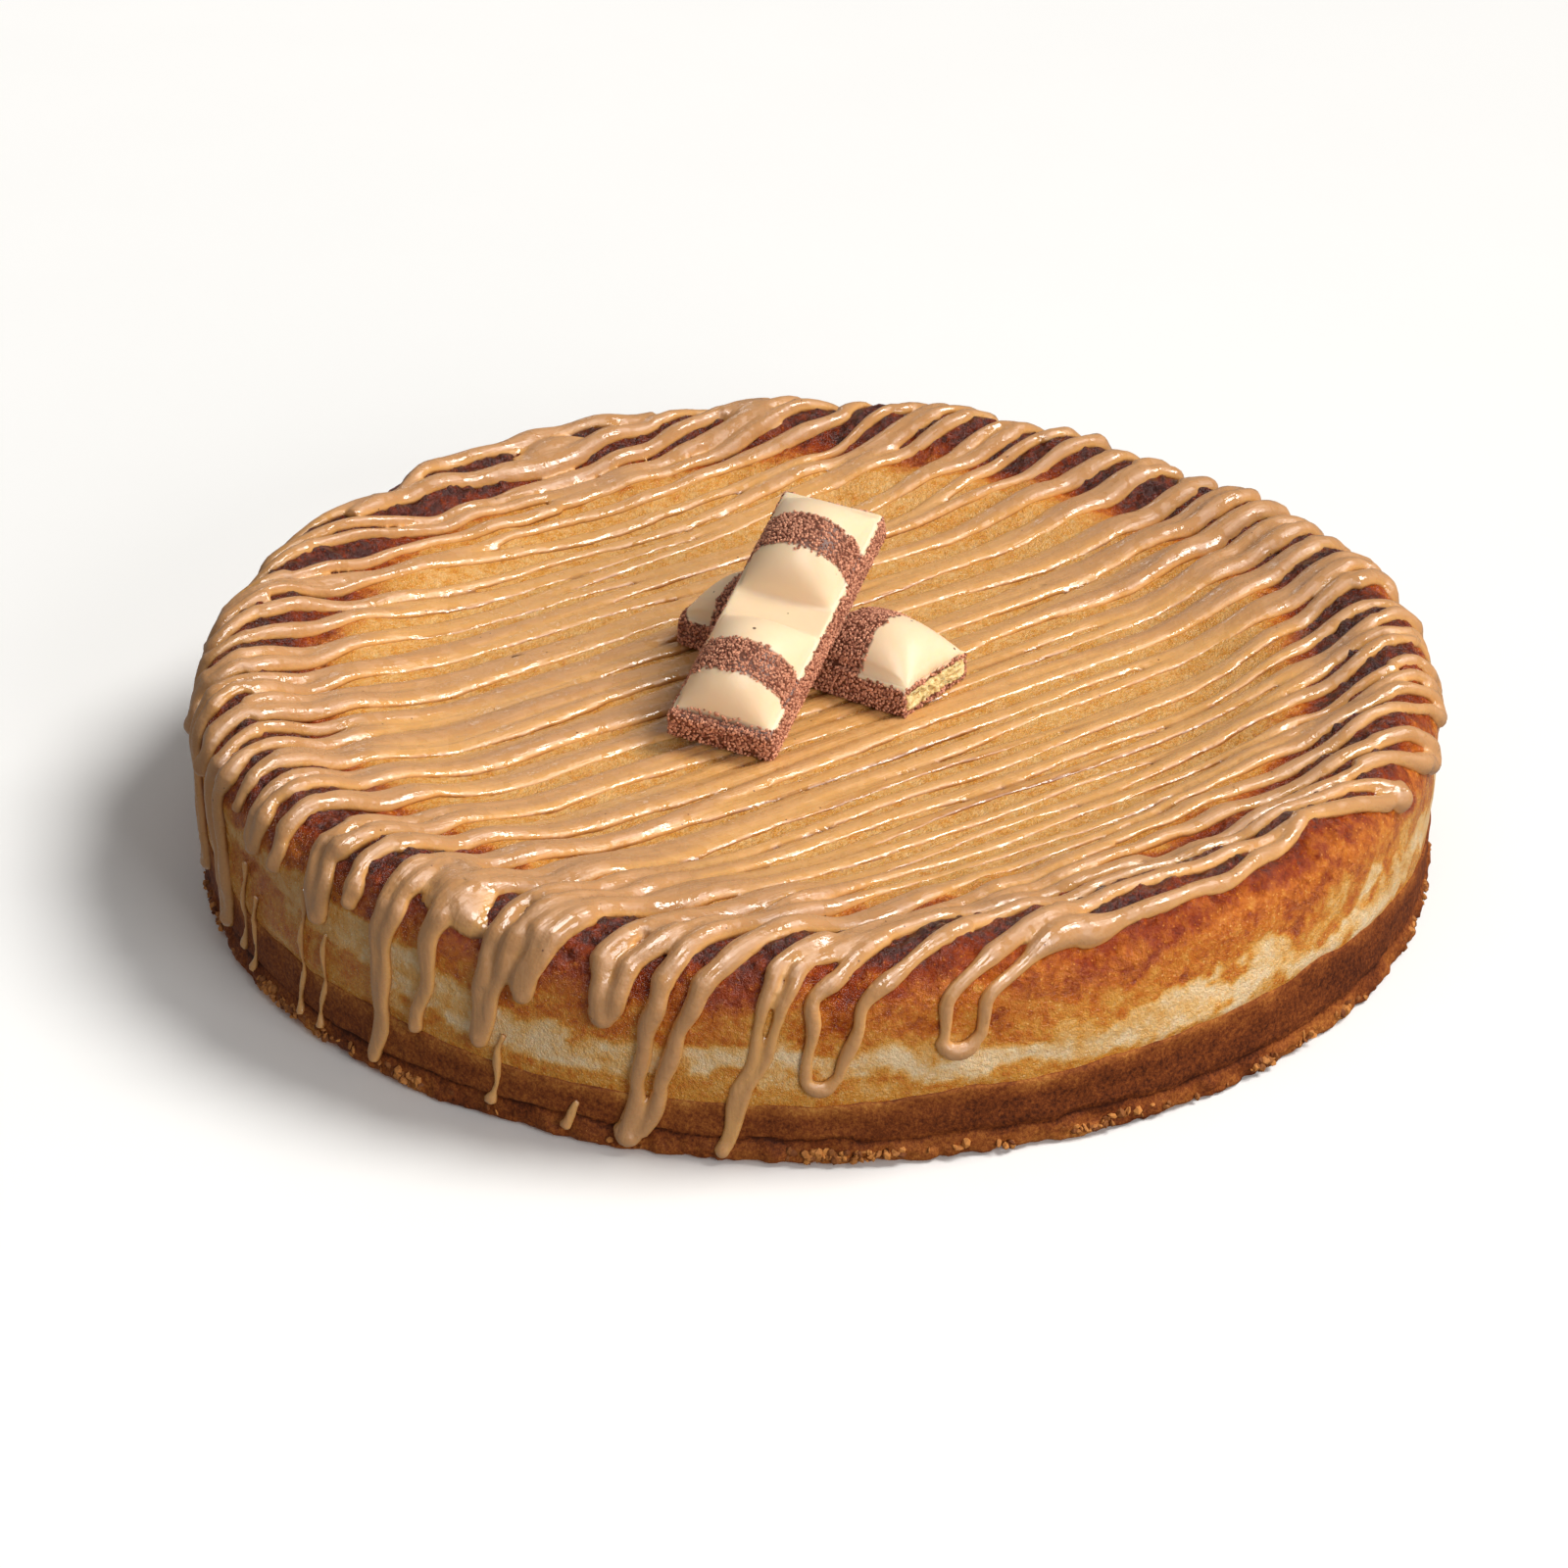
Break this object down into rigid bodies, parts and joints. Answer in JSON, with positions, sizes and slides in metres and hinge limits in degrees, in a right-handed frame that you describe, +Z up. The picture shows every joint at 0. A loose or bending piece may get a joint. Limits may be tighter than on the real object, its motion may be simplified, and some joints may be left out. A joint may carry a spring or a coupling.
{
  "type": "cheesecake",
  "caption": "Round baked cheesecake on a biscuit base, dished on top, striped with caramel cream that hangs down its side, with crossed white wafer bars in the middle.",
  "frame": {"origin": "middle of the flat underside of the biscuit base", "axes": "+Z up through the middle of the cake, +X to the right and -Y to the front as pictured"},
  "size_m": [0.2638, 0.2638, 0.071],
  "materials": {
    "biscuit": "matt pressed biscuit crumb",
    "cheesecake": "baked skin, browned at the rim and pale on the side",
    "caramel_cream": "glossy caramel cream",
    "white_coat": "satin white chocolate",
    "cocoa": "dull cocoa grains",
    "wafer": "dry porous wafer"
  },
  "bodies": {
    "root": {"base": "biscuit", "filling": "cheesecake", "bar_upper": "white_coat", "bar_lower_coat": "white_coat", "bar_lower_wafer": "wafer"}
  },
  "joints": []
}
